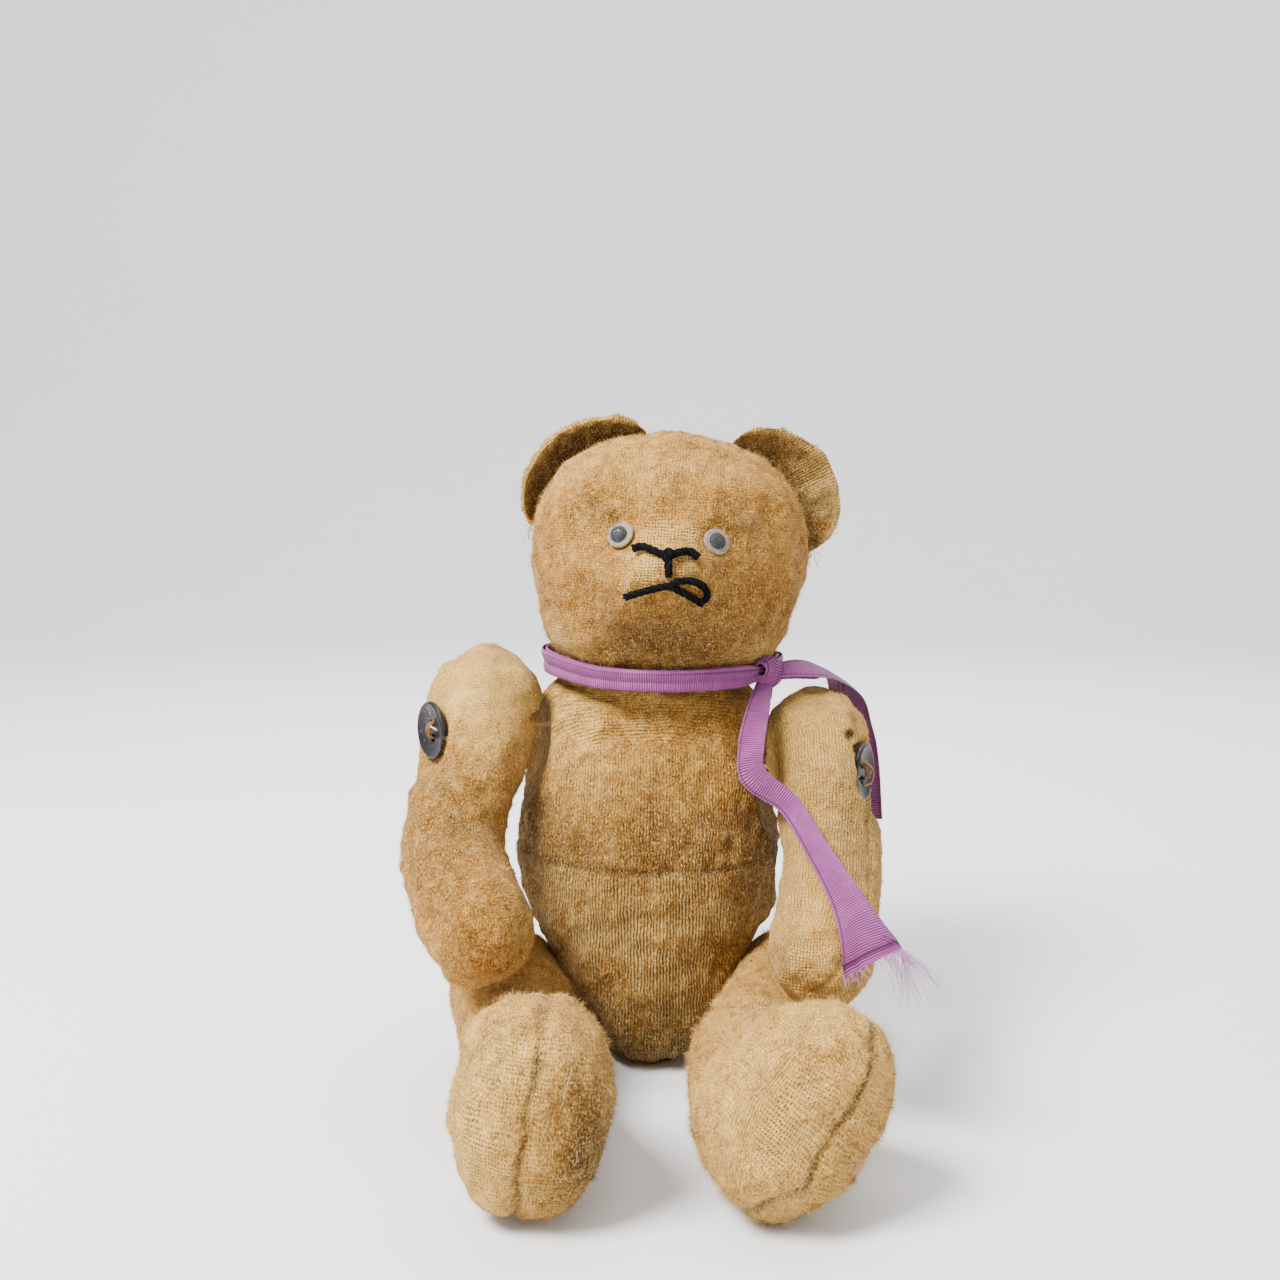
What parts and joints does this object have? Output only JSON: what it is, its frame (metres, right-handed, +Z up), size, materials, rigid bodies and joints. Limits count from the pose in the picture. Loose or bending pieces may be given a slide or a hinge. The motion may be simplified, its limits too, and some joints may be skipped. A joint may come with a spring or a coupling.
{
  "type": "teddy bear",
  "caption": "Worn jointed teddy bear sitting with its legs out, string-and-button arms, sewn nose and mouth, glass eyes and a tied neck ribbon.",
  "frame": {"origin": "middle of the flat seat that the torso sits on", "axes": "+X towards the bear's own left, -Y the way it faces, +Z up"},
  "size_m": [0.1511, 0.1823, 0.205],
  "materials": {
    "torso": "matt worn plush, woven ground showing",
    "head": "matt worn plush",
    "ear_right": "matt worn plush",
    "ear_left": "matt worn plush",
    "arm_right": "matt worn plush, woven ground showing",
    "arm_left": "matt worn plush, woven ground showing",
    "leg_right": "matt pale worn plush",
    "leg_left": "matt pale worn plush",
    "eye_right": "clear glass",
    "eye_left": "clear glass",
    "pupil_right": "gloss black",
    "pupil_left": "gloss black",
    "eye_shank_right": "bare wire",
    "eye_shank_left": "bare wire",
    "nose_thread": "black embroidery thread",
    "mouth_thread": "black embroidery thread",
    "neck_ribbon": "satin, finely ribbed",
    "arm_button_right": "worn dark japanning",
    "arm_button_left": "worn dark japanning",
    "button_thread_right": "brown thread",
    "button_thread_left": "brown thread",
    "shoulder_string": "natural string",
    "leg_disc_right": "plain fibre board",
    "hip_body_disc_right": "plain fibre board",
    "hip_pin_right": "bare wire",
    "leg_disc_left": "plain fibre board",
    "hip_body_disc_left": "plain fibre board",
    "hip_pin_left": "bare wire",
    "head_disc": "plain fibre board",
    "neck_body_disc": "plain fibre board",
    "neck_pin": "bare wire"
  },
  "bodies": {
    "torso": {"torso": "torso", "hip_body_disc_right": "hip_body_disc_right", "hip_body_disc_left": "hip_body_disc_left", "hip_pin_right": "hip_pin_right", "hip_pin_left": "hip_pin_left", "neck_body_disc": "neck_body_disc", "neck_pin": "neck_pin", "shoulder_string": "shoulder_string", "neck_ribbon": "neck_ribbon"},
    "head": {"head": "head", "head_disc": "head_disc", "nose_thread": "nose_thread", "mouth_thread": "mouth_thread", "ear_right": "ear_right", "ear_left": "ear_left", "eye_right": "eye_right", "pupil_right": "pupil_right", "eye_shank_right": "eye_shank_right", "eye_left": "eye_left", "pupil_left": "pupil_left", "eye_shank_left": "eye_shank_left"},
    "arm_right": {"arm_right": "arm_right", "arm_button_right": "arm_button_right", "button_thread_right": "button_thread_right"},
    "arm_left": {"arm_left": "arm_left", "arm_button_left": "arm_button_left", "button_thread_left": "button_thread_left"},
    "leg_right": {"leg_right": "leg_right", "leg_disc_right": "leg_disc_right"},
    "leg_left": {"leg_left": "leg_left", "leg_disc_left": "leg_disc_left"}
  },
  "joints": [
    {"name": "neck_turn", "type": "hinge", "parent": "torso", "child": "head", "pos_m": [0.004, 0.017, 0.1215], "axis": [0.0698, 0, 0.9976], "range_deg": [-45, 45], "deforming": ["neck_ribbon"]},
    {"name": "shoulder_right_swing", "type": "hinge", "parent": "torso", "child": "arm_right", "pos_m": [-0.054, 0, 0.105], "axis": [-0.9903, -0.1392, 0], "range_deg": [0, 90]},
    {"name": "shoulder_left_swing", "type": "hinge", "parent": "torso", "child": "arm_left", "pos_m": [0.0543, -0.005, 0.092], "axis": [-0.9903, 0.1392, 0], "range_deg": [0, 90], "deforming": ["neck_ribbon"]},
    {"name": "hip_right_swing", "type": "hinge", "parent": "torso", "child": "leg_right", "pos_m": [-0.046, -0.005, 0.021], "axis": [0.9744, 0.225, 0], "range_deg": [0, 80]},
    {"name": "hip_left_swing", "type": "hinge", "parent": "torso", "child": "leg_left", "pos_m": [0.0455, -0.005, 0.021], "axis": [0.9744, -0.225, 0], "range_deg": [0, 80]}
  ]
}
